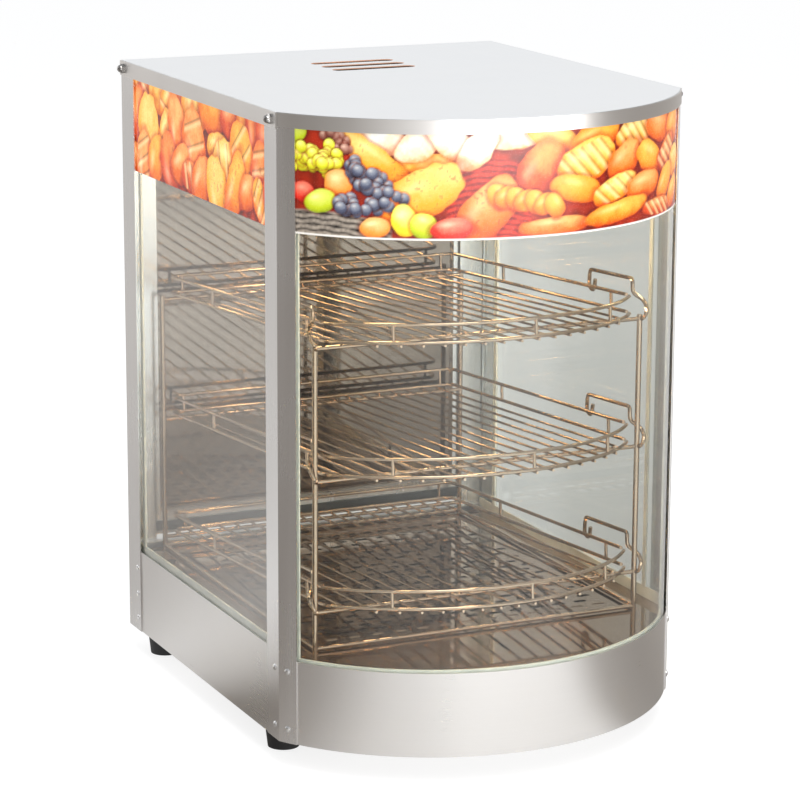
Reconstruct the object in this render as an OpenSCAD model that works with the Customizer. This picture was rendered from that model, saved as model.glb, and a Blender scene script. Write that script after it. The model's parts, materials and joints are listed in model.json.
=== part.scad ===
// Countertop hot food display case: curved front glass, glass sides, three wire
// shelves on a bent-wire rack, a heated water pan under a slotted cover, and a
// hinged glass door at the rear. Millimetres, +Z up, the curved front faces -Y.

/* [Case] */
// Width of the case over its side rails
case_w = 412; // [380:1:440]
// Depth of the straight sides
side_d = 400; // [380:1:440]
// How far the curved front stands out beyond the sides
front_bulge = 121; // [100:1:130]
// Height of the case without its feet
body_h = 585; // [560:1:620]
// Height of the rubber feet
foot_h = 25; // [18:1:32]
// Thickness of the folded steel sheet
sheet = 1.2; // [1:0.1:1.5]
// Height of the side base panels
base_h = 85; // [80:1:90]
// Height of the curved front skirt
skirt_h = 80; // [76:1:84]

/* [Corner posts and top] */
// Width of the front posts on the side of the case
post_front_w = 28; // [24:1:32]
// Width of the front posts round the curved front, in degrees of its arc
post_front_arc = 4.9; // [4:0.1:6]
// Width of the rear posts on the side and on the rear
post_rear_w = 33; // [28:1:36]
// Height of the side and rear top rails
rail_h = 15; // [14:1:18]
// Height of the curved front rail
front_rail_h = 13; // [11:1:16]
// Length of the vent slots in the top
vent_l = 88; // [60:1:120]
// Width of the vent slots
vent_w = 14; // [8:1:16]
// Distance between vent slots
vent_pitch = 26; // [20:1:30]

/* [Glass] */
// Thickness of the glass panes
glass_t = 4; // [3:0.5:5]
// Height of the printed band on the glass, down from the rails
band_h = 94; // [80:1:110]

/* [Rack and shelves] */
// Distance from the rack's centre to its side rods
rack_half_w = 167; // [160:1:172]
// Distance from the shelf's centre to its side rails
shelf_half_w = 158; // [150:1:158]
// Radius of the shelf's curved front
shelf_r = 193; // [185:1:196]
// Rise of the shelves towards the front, in degrees
shelf_tilt = 3.9; // [3:0.1:4.5]
// Height of the lowest shelf's rail at the rear, above the table
shelf_z0 = 123.5; // [122:0.5:128]
// Distance from shelf to shelf
shelf_pitch = 124.5; // [115:0.5:126]
// Height of the guard rail above the shelf's lower rail
guard_h = 16.5; // [14:0.5:20]
// Number of wires across a shelf
shelf_wires = 17; // [15:1:21]

/* [Heated base] */
// Height of the deck above the table
deck_z = 106; // [104:0.5:107]
// Length of a slot in the cover
slot_l = 13.4; // [10:0.1:14]
// Width of a slot in the cover
slot_w = 6; // [4:0.5:7]

/* [Door] */
// Half width of the rear door
door_half_w = 190; // [184:1:192]
// Width of the door frame's bars
door_bar = 24; // [18:1:30]
// How far the handle stands out from the rear of the case
rear_reach = 50; // [44:1:60]

/* [Hidden] */

// The bounding box is centred on the origin, so the rear face stands at rear_y.
half_w = case_w / 2;
rear_y = (side_d + front_bulge - rear_reach) / 2;
corner_y = rear_y - side_d;
front_r = (half_w * half_w + front_bulge * front_bulge) / (2 * front_bulge);
front_cy = corner_y - front_bulge + front_r;
top_z = foot_h + body_h;
rail_gap = 0.4;
rail_top = top_z - rail_gap;
rail_bottom = top_z - rail_h;
front_rail_bottom = top_z - front_rail_h;
// Every skin has its own layer, counted inwards from the outside of the rails.
rail_t = 1;
post_in = rail_t;
panel_in = post_in + sheet;
film_in = panel_in + 0.9;
film_t = 0.4;
glass_in = panel_in + sheet + 0.2;
seal_in = glass_in + glass_t + 0.1;
seal_t = 1.9;
liner_in = seal_in + seal_t + 0.4;
glass_z = foot_h + 75;
glass_top = rail_bottom + 3;
ledge_z = top_z - sheet - sheet;
ledge_w = 12;
big = 2 * side_d;
arc_fn = 160;
// Rack and shelf wires
rod_r = 2.6;
bar_r = 2;
rail_r = 1.8;
wire_r = 1.25;
weld = 0.4;
rest_gap = 0.35;
rod_front_y = corner_y + 2;
rod_rear_y = rear_y - 14;
rack_z = deck_z + 3;
shelf_rear_y = rear_y - 12;
wire_drop = rail_r + wire_r - weld;
shelf_corner_y = front_cy - sqrt(shelf_r * shelf_r - shelf_half_w * shelf_half_w);
// Rear controls
panel_y = rear_y - panel_in;
control_z = foot_h + 44;
knob_x = -110;
power_x = -30;
light_x = 10;
lamp_x = 50;
gland_x = 150;
gland_r = 6.5;
shaft_r = 3;
run_fit = 0.05;
// Door
door_y = rear_y + 2;
door_t = 14;
door_z = foot_h + 91;
door_top = rail_bottom - 3;
hinge_x = -door_half_w - 8.2;
hinge_y = door_y + door_t + 0.6;
hinge_r = 4.5;
hinge_pin_r = 2;
hinge_seg = 16;
hinge_gap = 0.4;
hinge_zs = [door_z + 70, door_top - 70];
handle_x = door_bar / 2 - door_half_w;
handle_z = 352;
handle_l = 130;
// Fasteners
nut_z = top_z - 7.5;
nut_inset = 11;
foot_xs = 178;
foot_ys = [corner_y + 54, rear_y - 32];
foot_r = 18;
rivet_r = 1.65;
rivet_head_r = 3;

// A straight round wire from point a to point b
module wire(a, b, r) {
    d = b - a;
    l = norm(d);
    translate(a) rotate([0, acos(d[2] / l), atan2(d[1], d[0])]) cylinder(h = l, r = r, $fn = 24);
}

// Points on the way round a corner at b, on a smooth curve that starts and ends near it
function eased(a, b, c, reach) = let(
    p = b + (a - b) * min(0.45, reach / norm(a - b)),
    q = b + (c - b) * min(0.45, reach / norm(c - b)))
    [for (k = [0 : 3]) let(t = k / 3) (1 - t) * (1 - t) * p + 2 * t * (1 - t) * b + t * t * q];

// The line through the given points with every corner eased
function eased_line(points, reach) = concat([points[0]],
    [for (i = [1 : len(points) - 2]) each eased(points[i - 1], points[i], points[i + 1], reach)],
    [points[len(points) - 1]]);

// Direction of a line at its point i
function heading(points, i) = let(
    d = points[min(i + 1, len(points) - 1)] - points[max(i - 1, 0)]) d / norm(d);

// A wire bent along points, as one closed skin of `sides` faces round
module bent_wire(points, r, sides = 10) {
    line = eased_line(points, 5);
    n = len(line);
    across_dir = [0.31, 0.17, 0.93];
    rings = [for (i = [0 : n - 1]) let(
        t = heading(line, i),
        u0 = abs(t * across_dir) > 0.9 ? cross(t, [1, 0, 0]) : cross(t, across_dir),
        u = u0 / norm(u0),
        v = cross(t, u))
        for (k = [0 : sides - 1]) line[i] + r * (cos(360 * k / sides) * u + sin(360 * k / sides) * v)];
    walls = [for (i = [0 : n - 2], k = [0 : sides - 1]) let(
        a = i * sides + k, b = i * sides + (k + 1) % sides)
        [a, a + sides, b + sides, b]];
    polyhedron(rings, concat([[for (k = [0 : sides - 1]) k]], walls,
        [[for (k = [sides - 1 : -1 : 0]) (n - 1) * sides + k]]));
}

// A wall that follows the curved front: outer face `inset` inside the rails
module front_arc(inset, t, z, h, from = -90, to = 90) {
    translate([0, front_cy, z]) rotate([0, 0, 270 + from])
        rotate_extrude(angle = to - from, $fn = arc_fn)
            translate([front_r - inset - t, 0]) square([t, h]);
}

// The plan of the case, `inset` inside the rails, as a solid of height h
module case_prism(inset, z, h) {
    w = half_w - inset;
    intersection() {
        translate([-w, corner_y - big / 2, z]) cube([2 * w, rear_y - inset - corner_y + big / 2, h]);
        union() {
            translate([0, front_cy, z]) cylinder(r = front_r - inset, h = h, $fn = arc_fn);
            translate([-w, front_cy, z]) cube([2 * w, side_d, h]);
        }
    }
}

// A block between two corner points
module block(a, b) translate(a) cube(b - a);

// The end angle of a front wall whose outer corner stays at half width x
function arc_end(inset, x) = asin(x / (front_r - inset));

module both_sides() {
    children();
    mirror([1, 0, 0]) children();
}

// Hole or body along X at height z
module across(x0, x1, y, z, r) translate([x0, y, z]) rotate([0, 90, 0]) cylinder(h = x1 - x0, r = r, $fn = 24);

// Hole or body along Y, from y0 to y1
module along(x, y0, y1, z, r) translate([x, y1, z]) rotate([90, 0, 0]) cylinder(h = y1 - y0, r = r, $fn = 32);

// ---- Corner posts -------------------------------------------------------

front_rivet_zs = [foot_h + 13.5, foot_h + 69];
rear_rivet_zs = [foot_h + 13.5, foot_h + 39, foot_h + 66.5];
front_rivet_y = corner_y + 10;
rear_rivet_y = rear_y - 26;
rear_face_rivet_x = half_w - 16;
front_end = arc_end(0, half_w);
front_rivet_a = front_end - post_front_arc / 2;
post_top = ledge_z - 0.6;

// A short cylinder through the curved front at angle a from its middle
module front_pin(a, z, inset0, inset1, r) {
    translate([0, front_cy, z]) rotate([0, 0, a - 90]) translate([front_r - inset1, 0, 0])
        rotate([0, 90, 0]) cylinder(h = inset1 - inset0, r = r, $fn = 24);
}

// Right-hand front post: a flat side flange and a flange that follows the curved front
module post_front() {
    x1 = half_w - post_in;
    difference() {
        union() {
            block([x1 - sheet, corner_y + 0.3, foot_h], [x1, corner_y + post_front_w, post_top]);
            intersection() {
                front_arc(post_in, sheet, foot_h, post_top - foot_h, front_end - post_front_arc, front_end + 2);
                block([0, corner_y - big, foot_h], [x1, corner_y + 10, post_top]);
            }
        }
        for (z = front_rivet_zs) across(x1 - 2 * sheet, x1 + 1, front_rivet_y, z, rivet_r + 0.05);
        for (z = front_rivet_zs) front_pin(front_rivet_a, z, 0, 2 * sheet + 1, rivet_r + 0.05);
        across(x1 - 2 * sheet, x1 + 1, corner_y + nut_inset, nut_z, 2.6);
    }
}

// Right-hand rear post: an angle with a flange on the side and one on the rear
module post_rear() {
    x1 = half_w - post_in;
    y1 = rear_y - post_in;
    difference() {
        union() {
            block([x1 - sheet, y1 - post_rear_w, foot_h], [x1, y1, post_top]);
            block([x1 - post_rear_w, y1 - sheet, foot_h], [x1, y1, post_top]);
        }
        for (z = rear_rivet_zs) across(x1 - 2 * sheet, x1 + 1, rear_rivet_y, z, rivet_r + 0.05);
        for (z = front_rivet_zs) along(rear_face_rivet_x, y1 - 2 * sheet, y1 + 1, z, rivet_r + 0.05);
        across(x1 - 2 * sheet, x1 + 1, rear_y - nut_inset, nut_z, 2.6);
    }
}

module post_front_right() color("silver") post_front();
module post_front_left() color("silver") mirror([1, 0, 0]) post_front();
module post_rear_right() color("silver") post_rear();
module post_rear_left() color("silver") mirror([1, 0, 0]) post_rear();

// ---- Top ----------------------------------------------------------------

// Right-hand top rail with the ledge that carries the top panel
module side_rail() {
    difference() {
        union() {
            intersection() {
                block([half_w - rail_t, corner_y - 10, rail_bottom], [half_w, rear_y, rail_top]);
                case_prism(0, rail_bottom, rail_h);
            }
            block([half_w - ledge_w, corner_y + 16, ledge_z - sheet / 2],
                [half_w - rail_t, rear_y - 16, ledge_z + sheet / 2]);
        }
        for (y = [corner_y + nut_inset, rear_y - nut_inset]) across(half_w - 4, half_w + 1, y, nut_z, 2.6);
    }
}

module side_rail_right() color("gainsboro") side_rail();
module side_rail_left() color("gainsboro") mirror([1, 0, 0]) side_rail();

module front_rail() color("lightgrey") {
    end = arc_end(0, half_w - rail_t) - 0.05;
    front_arc(0, rail_t, front_rail_bottom, rail_top - front_rail_bottom, -end, end);
    front_arc(rail_t - 0.3, ledge_w, ledge_z - sheet / 2, sheet, -end + 6, end - 6);
}

module rear_rail() color("lightgrey") {
    x1 = half_w - rail_t;
    block([-x1, rear_y - rail_t, rail_bottom], [x1, rear_y, rail_top]);
    block([-x1 + 20, rear_y - ledge_w, ledge_z - sheet / 2], [x1 - 20, rear_y - rail_t, ledge_z + sheet / 2]);
}

// The vent slots as solids of height h
module vents(z, h) {
    for (i = [-1 : 1]) {
        y = rear_y - 131 + i * vent_pitch;
        x = (vent_l - vent_w) / 2;
        block([-x, y - vent_w / 2, z], [x, y + vent_w / 2, z + h]);
        for (s = [-1, 1]) translate([s * x, y, z]) cylinder(h = h, r = vent_w / 2, $fn = 32);
    }
}

module top_panel() color("whitesmoke") difference() {
    case_prism(rail_t + 0.2, ledge_z + sheet / 2, top_z - ledge_z - sheet / 2);
    vents(ledge_z, 10);
}

liner_z = ledge_z - sheet / 2 - 20;

// Inner ceiling with the same vents, hung from the side rails by its turned-up edges
module ceiling_liner() color("silver") difference() {
    union() {
        case_prism(liner_in, liner_z, 1);
        both_sides() block([half_w - liner_in - 1, corner_y + 20, liner_z],
            [half_w - liner_in, rear_y - 20, ledge_z - sheet / 2]);
    }
    vents(liner_z - 1, 4);
    for (s = [-1, 1]) translate([s * lamp_dx, lamp_y, liner_z - 1]) cylinder(h = 4, r = 5, $fn = 32);
}

// ---- Glass, printed band and seals --------------------------------------

glass_end = arc_end(glass_in, half_w - glass_in - glass_t - 0.5);

module front_glass() color("powderblue", 0.3)
    front_arc(glass_in, glass_t, glass_z, glass_top - glass_z, -glass_end, glass_end);

module side_glass() block([half_w - glass_in - glass_t, corner_y + 3, glass_z],
    [half_w - glass_in, rear_y - 4, glass_top]);
module side_glass_right() color("powderblue", 0.3) side_glass();
module side_glass_left() color("powderblue", 0.3) mirror([1, 0, 0]) side_glass();

band_z = front_rail_bottom - band_h;

module front_graphic() color("orange")
    front_arc(film_in, film_t, band_z, glass_top - band_z, -glass_end + 0.5, glass_end - 0.5);

module side_graphic() block([half_w - film_in - film_t, corner_y + 4, band_z],
    [half_w - film_in, rear_y - 6, glass_top]);
module side_graphic_right() color("orange") side_graphic();
module side_graphic_left() color("orange") mirror([1, 0, 0]) side_graphic();

// Pale seal: it carries the curved pane and stands up inside its lower and upright edges
module front_seal() difference() {
    seat = seal_in + seal_t - glass_in;
    foot = glass_z - 3.5;
    front_arc(glass_in, seat, foot, glass_top - 8 - foot, -glass_end, glass_end);
    front_arc(glass_in - 1, seal_in - glass_in + 1, glass_z, glass_top, -glass_end - 1, glass_end + 1);
    front_arc(seal_in - 1, seal_t + 2, glass_z + 7, glass_top, -glass_end + 2.5, glass_end - 2.5);
}

module side_seals() both_sides() {
    x0 = half_w - seal_in - seal_t;
    x1 = half_w - seal_in;
    top = ledge_z - 30;
    block([x0, corner_y + 3, glass_z - 3.5], [half_w - glass_in, rear_y - 4, glass_z]);
    block([x0, corner_y + 3, glass_z - 0.1], [x1, rear_y - 4, glass_z + 17]);
    block([x0, corner_y + 30, glass_z], [x1, corner_y + 36, top]);
    block([x0, rear_y - 41, glass_z], [x1, rear_y - 35, top]);
}

module glass_seals() color("lightgrey") {
    front_seal();
    side_seals();
}

// ---- Base ---------------------------------------------------------------

module base_side() {
    x1 = half_w - panel_in;
    difference() {
        block([x1 - sheet, corner_y + 1.5, foot_h], [x1, rear_y - panel_in, foot_h + base_h]);
        for (z = front_rivet_zs) across(x1 - 2 * sheet, x1 + 1, front_rivet_y, z, rivet_r + 0.05);
        for (z = rear_rivet_zs) across(x1 - 2 * sheet, x1 + 1, rear_rivet_y, z, rivet_r + 0.05);
    }
}
module base_side_right() color("silver") base_side();
module base_side_left() color("silver") mirror([1, 0, 0]) base_side();

skirt_end = arc_end(panel_in, half_w - panel_in - sheet - 1);

module front_skirt() color("silver") difference() {
    front_arc(panel_in, sheet, foot_h, skirt_h, -skirt_end, skirt_end);
    for (s = [-1, 1], z = front_rivet_zs) front_pin(s * front_rivet_a, z, 0, 3 * sheet + 3, rivet_r + 0.05);
}

// Opening for a rocker switch in the rear panel
module switch_hole(x) block([x - 7, panel_y - 5, control_z - 10.5], [x + 7, panel_y + 1, control_z + 10.5]);

module control_panel() color("silver") difference() {
    x1 = half_w - panel_in - sheet;
    union() {
        block([-x1, panel_y - sheet, foot_h], [x1, panel_y, foot_h + base_h + 2]);
        block([-x1 + 8, panel_y - 8, foot_h + base_h + 2 - sheet], [x1 - 8, panel_y - sheet, foot_h + base_h + 2]);
    }
    along(knob_x, panel_y - 5, panel_y + 1, control_z, 5.2);
    switch_hole(power_x);
    switch_hole(light_x);
    along(lamp_x, panel_y - 5, panel_y + 1, control_z, 5.2);
    along(gland_x, panel_y - 5, panel_y + 1, control_z - 12, gland_r + 3.7);
    for (s = [-1, 1], z = front_rivet_zs) along(s * rear_face_rivet_x, panel_y - 5, panel_y + 1, z, rivet_r + 0.05);
}

module bottom_plate() color("darkgrey") difference() {
    case_prism(panel_in + sheet + 0.3, foot_h, sheet);
    for (s = [-1, 1], y = foot_ys) translate([s * foot_xs, y, foot_h - 1]) cylinder(h = 5, r = 2.6, $fn = 32);
}

// ---- Heated deck --------------------------------------------------------

pan_x = 146;
pan_y0 = corner_y + 26;
pan_y1 = rear_y - 60;
pan_z = foot_h + 35;
pan_rim = 5;
cover_x = 157;
cover_y0 = corner_y + 10;
cover_y1 = rear_y - 44;
cover_z = deck_z + 1;
deck_leg_x = half_w - liner_in - 10;

// Floor of the display space, with legs that stand on the bottom plate
module deck_plate() color("silver") {
    difference() {
        case_prism(liner_in, deck_z - sheet, sheet);
        block([-pan_x - 1, pan_y0 - 1, deck_z - 5], [pan_x + 1, pan_y1 + 1, deck_z + 5]);
        block([-half_w, panel_y - 9, deck_z - 5], [half_w, rear_y, deck_z + 5]);
    }
    both_sides() block([deck_leg_x, corner_y + 20, foot_h + sheet],
        [deck_leg_x + sheet, rear_y - 20, deck_z - sheet / 2]);
}

module water_pan() color("lightgrey") difference() {
    union() {
        block([-pan_x, pan_y0, pan_z], [pan_x, pan_y1, cover_z]);
        block([-pan_x - pan_rim, pan_y0 - pan_rim, deck_z], [pan_x + pan_rim, pan_y1 + pan_rim, cover_z]);
    }
    block([-pan_x + 1, pan_y0 + 1, pan_z + 1], [pan_x - 1, pan_y1 - 1, cover_z + 1]);
}

slot_px = 23.4;
slot_py = 15;
slot_cols = 13;
slot_rows = 22;

// The outline of one slot, with round ends
module slot_outline() {
    s = (slot_l - slot_w) / 2;
    square([2 * s, slot_w], center = true);
    for (k = [-1, 1]) translate([k * s, 0]) circle(d = slot_w, $fn = 16);
}

module slotted_cover() color("silver") translate([0, 0, cover_z]) linear_extrude(height = 1) difference() {
    translate([-cover_x, cover_y0]) square([2 * cover_x, cover_y1 - cover_y0]);
    for (row = [0 : slot_rows - 1], col = [0 : slot_cols - 1 - row % 2])
        translate([(col - (slot_cols - 1) / 2 + (row % 2) / 2) * slot_px, cover_y0 + 14 + row * slot_py])
            slot_outline();
}

element_r = 4;
element_x = 60;
element_z = foot_h + 20;

// Tubular heating element: one U under the pan, with its ends turned to the rear
module heating_element() color("dimgrey") {
    y0 = pan_y0 + 30 + element_x;
    y1 = pan_y1 + 20;
    for (s = [-1, 1]) wire([s * element_x, y0, element_z], [s * element_x, y1, element_z], element_r);
    translate([0, y0, element_z]) rotate([0, 0, 180])
        rotate_extrude(angle = 180, $fn = 64) translate([element_x, 0]) circle(r = element_r, $fn = 24);
    for (s = [-1, 1]) wire([s * element_x, y1 - 1, element_z], [s * element_x, y1 + 14, element_z], 2);
    for (s = [-1, 1], y = [y0 + 10, y1 - 20])
        block([s * element_x - 6, y - 5, foot_h + sheet], [s * element_x + 6, y + 5, element_z - element_r + 0.5]);
}

// ---- Lamps --------------------------------------------------------------

lamp_dx = 85;
lamp_y = front_cy - 30;
lamp_top = liner_z;
holder_h = 26;

module lamp_holders() color("ivory") for (s = [-1, 1]) translate([s * lamp_dx, lamp_y, lamp_top - holder_h])
    difference() {
        cylinder(h = holder_h, r = 14, $fn = 48);
        translate([0, 0, -1]) cylinder(h = 17, r = 10.2, $fn = 48);
    }

// A warm bulb: its cap sits in the holder and its glass hangs below
module lamp(s) translate([s * lamp_dx, lamp_y, lamp_top - holder_h]) {
    cylinder(h = 15, r = 10, $fn = 48);
    translate([0, 0, -18.9]) sphere(r = 21.4, $fn = 64);
}
module lamps() color("lightyellow") for (s = [-1, 1]) lamp(s);

// ---- Rack and shelves ---------------------------------------------------

function tier_z(i) = shelf_z0 + i * shelf_pitch;
function tier_z_at(i, y) = tier_z(i) + (shelf_rear_y - y) * tan(shelf_tilt);
// Height of the cross bar that a shelf rests on
function bar_z(i, y) = tier_z_at(i, y) - (wire_drop + wire_r + rest_gap + bar_r) / cos(shelf_tilt);

arm_x = rack_half_w - 2.5;
arm_l = 84;

// The wire that rises from the end of a front cross bar, runs back beside the
// shelf's guard rail and ends in a small hook
module rack_arm(i) {
    z0 = bar_z(i, rod_front_y);
    z1 = z0 + 37;
    z2 = z1 - arm_l * tan(shelf_tilt);
    y0 = rod_front_y + 10;
    y1 = y0 + arm_l;
    x1 = rack_half_w + rod_r + bar_r + 1.4;
    bent_wire([[rack_half_w, rod_front_y - rod_r - 0.3, z0], [rack_half_w + 2, rod_front_y - 7, z0 + 3],
        [x1, rod_front_y - 4, z0 + 10], [x1, rod_front_y + 3, z0 + 17], [arm_x, y0, z0 + 23],
        [arm_x, y0, z1], [arm_x, y1, z2], [arm_x, y1 + 1, z2 - 18], [arm_x, y1 - 9, z2 - 20],
        [arm_x, y1 - 11, z2 - 8]], bar_r);
}

module rack_frame() color("gainsboro") {
    rear_top = bar_z(2, rod_rear_y);
    front_top = bar_z(2, rod_front_y);
    for (s = [-1, 1]) {
        wire([s * rack_half_w, rod_front_y, deck_z], [s * rack_half_w, rod_front_y, front_top + 4], rod_r);
        wire([s * rack_half_w, rod_rear_y, deck_z], [s * rack_half_w, rod_rear_y, rear_top + 4], rod_r);
        wire([s * rack_half_w, rod_front_y, rack_z], [s * rack_half_w, rod_rear_y, rack_z], bar_r);
    }
    for (y = [rod_front_y, rod_rear_y]) {
        wire([-rack_half_w, y, rack_z], [rack_half_w, y, rack_z], bar_r);
        for (i = [0 : 2]) wire([-rack_half_w, y, bar_z(i, y)], [rack_half_w, y, bar_z(i, y)], bar_r);
    }
}

module rack_arms() color("gainsboro") both_sides() for (i = [0 : 2]) rack_arm(i);

corner_r = 20;
rear_corner_r = 10;
corner_cx = shelf_half_w - corner_r;
corner_cy = -sqrt((shelf_r - corner_r) * (shelf_r - corner_r) - corner_cx * corner_cx);
corner_a = asin(corner_cx / (shelf_r - corner_r));

// One closed rail round a shelf, in the shelf's own flat plane: arc centre at the origin
module shelf_rail(z, rear) {
    side_y = rear - rear_corner_r;
    translate([0, 0, z]) {
        rail_arc([0, 0, 0], shelf_r, 270 - corner_a, 2 * corner_a);
        rail_arc([corner_cx, corner_cy, 0], corner_r, corner_a - 90, 90 - corner_a);
        rail_arc([-corner_cx, corner_cy, 0], corner_r, 180, 90 - corner_a);
        rail_arc([shelf_half_w - rear_corner_r, side_y, 0], rear_corner_r, 0, 90);
        rail_arc([-shelf_half_w + rear_corner_r, side_y, 0], rear_corner_r, 90, 90);
        for (s = [-1, 1]) wire([s * shelf_half_w, corner_cy, 0], [s * shelf_half_w, side_y, 0], rail_r);
        wire([-shelf_half_w + rear_corner_r, rear, 0], [shelf_half_w - rear_corner_r, rear, 0], rail_r);
    }
}

// A stretch of rail bent to radius r round the point c, from angle a through angle turn
module rail_arc(c, r, a, turn) translate(c) rotate([0, 0, a])
    rotate_extrude(angle = turn, $fn = arc_fn) translate([r, 0]) circle(r = rail_r, $fn = 20);

// Posts between the lower rail and the guard rail
module rail_post(x, y) wire([x, y, rail_r - 0.05], [x, y, guard_h], rail_r - 0.2);

shelf_flat_d = (shelf_rear_y - front_cy) / cos(shelf_tilt);

// Sets a shelf drawn flat, with its arc centre at the origin, at its tier and tilt
module on_tier(i) translate([0, shelf_rear_y, tier_z(i)])
    rotate([-shelf_tilt, 0, 0]) translate([0, -shelf_flat_d, 0]) children();

// Lower rail of a shelf with a row of wires welded under it
module shelf(i) on_tier(i) {
    shelf_rail(0, shelf_flat_d);
    for (k = [1 : shelf_wires]) {
        x = (2 * k / (shelf_wires + 1) - 1) * shelf_half_w;
        y0 = abs(x) < corner_cx + 2 ? -sqrt(shelf_r * shelf_r - x * x) : corner_cy - 12;
        wire([x, y0 - 3, -wire_drop], [x, shelf_flat_d + 3, -wire_drop], wire_r);
    }
}
module shelf_bottom() color("gainsboro") shelf(0);
module shelf_middle() color("gainsboro") shelf(1);
module shelf_top() color("gainsboro") shelf(2);

// Guard rail of a shelf, on posts that stand on the lower rail
module guard(i) on_tier(i) {
    shelf_rail(guard_h, shelf_flat_d);
    rail_post(16, -sqrt(shelf_r * shelf_r - 16 * 16));
    both_sides() {
        rail_post(shelf_half_w - 14, shelf_flat_d);
        rail_post(shelf_half_w, shelf_flat_d - 120);
        rail_post(shelf_half_w, corner_cy + 30);
        rail_post(110, -sqrt(shelf_r * shelf_r - 110 * 110));
    }
}
module guard_bottom() color("gainsboro") guard(0);
module guard_middle() color("gainsboro") guard(1);
module guard_top() color("gainsboro") guard(2);

// ---- Controls on the rear panel -----------------------------------------

thermo_d = 30;

module thermostat_body() color("beige") difference() {
    union() {
        block([knob_x - 17, panel_y - sheet - thermo_d, control_z - 17], [knob_x + 17, panel_y - sheet, control_z + 17]);
        along(knob_x, panel_y - sheet - 0.5, panel_y + 4, control_z, 5);
    }
    along(knob_x, panel_y - sheet - 18, panel_y + 5, control_z, shaft_r + run_fit);
}

// Sensing bulb under the deck, with its thin tube back to the thermostat
module thermostat_sensor() color("chocolate") {
    x = knob_x;
    z = foot_h + 66;
    y1 = panel_y - sheet - thermo_d;
    bent_wire([[x, y1 + 0.5, control_z + 5], [x, y1 - 12, control_z + 5], [x - 42, y1 - 12, control_z + 5],
        [x - 42, y1 - 30, z]], 1);
    wire([x - 42, y1 - 29, z], [x - 42, y1 - 110, z], 3);
}

module thermostat_shaft() color("silver")
    along(knob_x, panel_y - sheet - 17, panel_y + 18, control_z, shaft_r);

// Round knob with a grip bar; its socket is pressed on the shaft
module thermostat_knob() color("black") difference() {
    union() {
        along(knob_x, panel_y + 5, panel_y + 10, control_z, 21);
        along(knob_x, panel_y + 9.5, panel_y + 22, control_z, 16);
        block([knob_x - 4.5, panel_y + 9.5, control_z - 15], [knob_x + 4.5, panel_y + 27, control_z + 15]);
    }
    along(knob_x, panel_y + 4, panel_y + 18, control_z, shaft_r);
    along(knob_x, panel_y + 3.5, panel_y + 5.3, control_z, 6.5);
}

rocker_y = panel_y + 0.5;

pivot_r = 1.2;

// Fixed housing and bezel of a rocker switch
module switch_body(x) difference() {
    union() {
        block([x - 6.8, panel_y - 24, control_z - 10.2], [x + 6.8, panel_y + 0.5, control_z + 10.2]);
        block([x - 8.5, panel_y, control_z - 12.5], [x + 8.5, panel_y + 2.4, control_z + 12.5]);
    }
    block([x - 5.8, panel_y - 10, control_z - 9.6], [x + 5.8, panel_y + 5, control_z + 9.6]);
    across(x - 7.2, x + 7.2, rocker_y, control_z, pivot_r + 0.15);
}

// The rocker on its pivot pin, pressed in at its upper end
module rocker(x) {
    translate([x - 5.4, rocker_y, control_z]) rotate([10, 0, 0]) rotate([90, 0, 90]) linear_extrude(height = 10.8)
        polygon([[-2.5, -7.8], [3.9, -8.8], [2.7, 0], [3.9, 8.8], [-2.5, 7.8]]);
    across(x - 6.6, x + 6.6, rocker_y, control_z, pivot_r);
}

module switch_bodies() color("black") for (x = [power_x, light_x]) switch_body(x);
module power_rocker() color("red") rocker(power_x);
module light_rocker() color("darkgreen") rocker(light_x);

module indicator_lamp() color("red") {
    along(lamp_x, panel_y - 18, panel_y + 0.5, control_z, 5);
    along(lamp_x, panel_y, panel_y + 2, control_z, 7);
    along(lamp_x, panel_y + 1.5, panel_y + 6, control_z, 4.8);
}

// Screwed gland with a clear bore for the supply cord
module cable_gland() color("black") difference() {
    z = control_z - 12;
    union() {
        along(gland_x, panel_y - sheet - 9, panel_y + 0.5, z, gland_r + 3.5);
        along(gland_x, panel_y, panel_y + 5, z, gland_r + 6);
        along(gland_x, panel_y + 4.5, panel_y + 18, z, gland_r + 4);
        translate([gland_x, panel_y - sheet, z]) rotate([90, 0, 0]) cylinder(h = 4, r = gland_r + 6.5, $fn = 6);
    }
    along(gland_x, panel_y - 30, panel_y + 30, z, gland_r);
}

module terminal_block() color("ivory") {
    x0 = gland_x - 60;
    y0 = panel_y - 60;
    block([x0, y0, foot_h + sheet], [x0 + 36, y0 + 20, foot_h + sheet + 12]);
    block([x0 + 1, y0 + 5, foot_h + sheet + 11], [x0 + 35, y0 + 15, foot_h + sheet + 20]);
}

// ---- Rear door ----------------------------------------------------------

pane_lap = 10;

module door_frame() color("silver") difference() {
    w = door_half_w;
    b = door_bar;
    gy = door_y + door_t / 2;
    block([-w, door_y, door_z], [w, door_y + door_t, door_top]);
    block([-w + b, door_y - 1, door_z + b], [w - b, door_y + door_t + 1, door_top - b]);
    block([-w + b - pane_lap, gy - glass_t / 2, door_z + b - pane_lap],
        [w - b + pane_lap, gy + glass_t / 2, door_top - b + pane_lap]);
}

// Mirror-polished sheet, hemmed at its edges to fill the groove of the door's frame
module door_panel() color("gainsboro") difference() {
    x = door_half_w - door_bar + pane_lap;
    y0 = door_y + door_t / 2 - glass_t / 2;
    z0 = door_z + door_bar - pane_lap;
    z1 = door_top - door_bar + pane_lap;
    hem = pane_lap - 1;
    block([-x, y0, z0], [x, y0 + glass_t, z1]);
    block([-x + hem, y0 + sheet, z0 + hem], [x - hem, y0 + glass_t + 1, z1 - hem]);
}

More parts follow.
